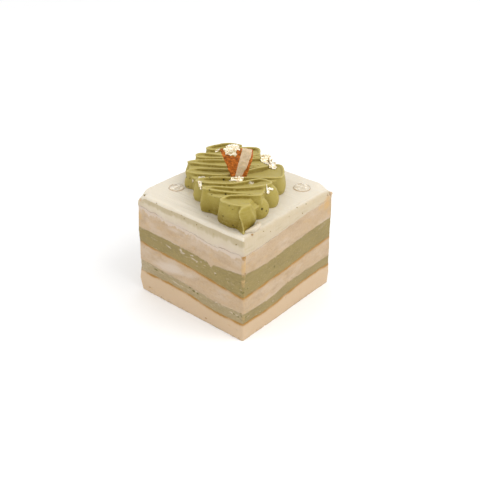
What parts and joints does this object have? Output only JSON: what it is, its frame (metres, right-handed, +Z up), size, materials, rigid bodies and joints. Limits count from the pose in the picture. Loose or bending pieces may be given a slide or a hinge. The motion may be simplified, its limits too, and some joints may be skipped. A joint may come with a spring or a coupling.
{
  "type": "layered cake slice",
  "caption": "Square cut slice of layered cake: sponge, matcha cream and icing layers, topped by a piped cream leaf with a nut shard and gold leaf.",
  "frame": {"origin": "centre of the slice's flat base", "axes": "+Z up, the four cut faces look along +X, -X, +Y and -Y, and the piped leaf points to the +X -Y corner"},
  "size_m": [0.0604, 0.0605, 0.0695],
  "materials": {
    "sponge": "matte, open crumb",
    "matcha_cream": "matte, moist",
    "white_icing": "satin, spread with a spatula",
    "piped_matcha_cream": "satin, smooth",
    "nut_skin": "satin, roasted"
  },
  "bodies": {
    "root": {"sponge_bottom": "sponge", "matcha_cream_lower": "matcha_cream", "sponge_middle": "sponge", "matcha_cream_upper": "matcha_cream", "sponge_top": "sponge", "top_icing": "white_icing", "piped_matcha": "piped_matcha_cream", "nut_shard": "nut_skin"}
  },
  "joints": []
}
